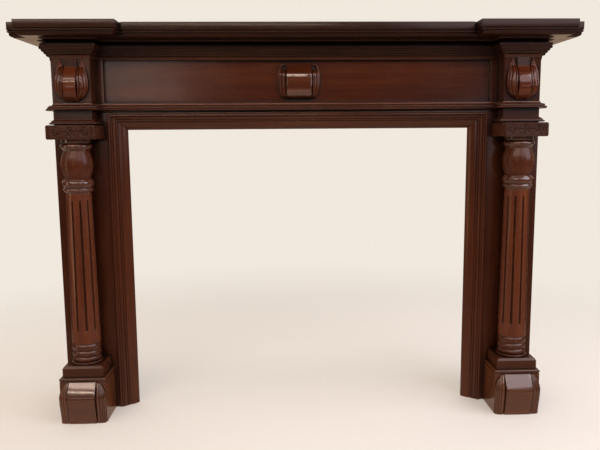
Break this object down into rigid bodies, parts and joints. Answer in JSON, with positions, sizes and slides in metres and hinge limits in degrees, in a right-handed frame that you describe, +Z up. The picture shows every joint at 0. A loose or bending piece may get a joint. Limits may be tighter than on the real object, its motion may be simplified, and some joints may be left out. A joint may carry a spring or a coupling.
{
  "type": "fireplace mantelpiece",
  "caption": "Breakfront wooden fireplace mantelpiece with turned fluted columns, carved scrolls, a moulded shelf and a wide rectangular opening.",
  "frame": {"origin": "on the floor, in the middle of the whole outline's width and depth", "axes": "+X to the viewer's right along the shelf, -Y out into the room, +Y to the wall, +Z up"},
  "size_m": [1.71, 0.28, 1.22],
  "materials": {
    "mahogany": "dark red-brown mahogany under glossy polish"
  },
  "bodies": {
    "root": {"architrave_left": "mahogany", "architrave_right": "mahogany", "architrave_top": "mahogany", "bed_moulding": "mahogany", "capital_left": "mahogany", "capital_right": "mahogany", "column_left": "mahogany", "column_right": "mahogany", "frieze_base_moulding": "mahogany", "frieze_block_left": "mahogany", "frieze_block_right": "mahogany", "frieze_board": "mahogany", "frieze_scroll_centre": "mahogany", "frieze_scroll_left": "mahogany", "frieze_scroll_right": "mahogany", "leg_board_left": "mahogany", "leg_board_right": "mahogany", "mantel_shelf": "mahogany", "neck_moulding_left": "mahogany", "neck_moulding_right": "mahogany", "plinth_block_left": "mahogany", "plinth_block_right": "mahogany", "plinth_cap_left": "mahogany", "plinth_cap_right": "mahogany", "plinth_scroll_left": "mahogany", "plinth_scroll_right": "mahogany", "side_return_left": "mahogany", "side_return_right": "mahogany"}
  },
  "joints": []
}
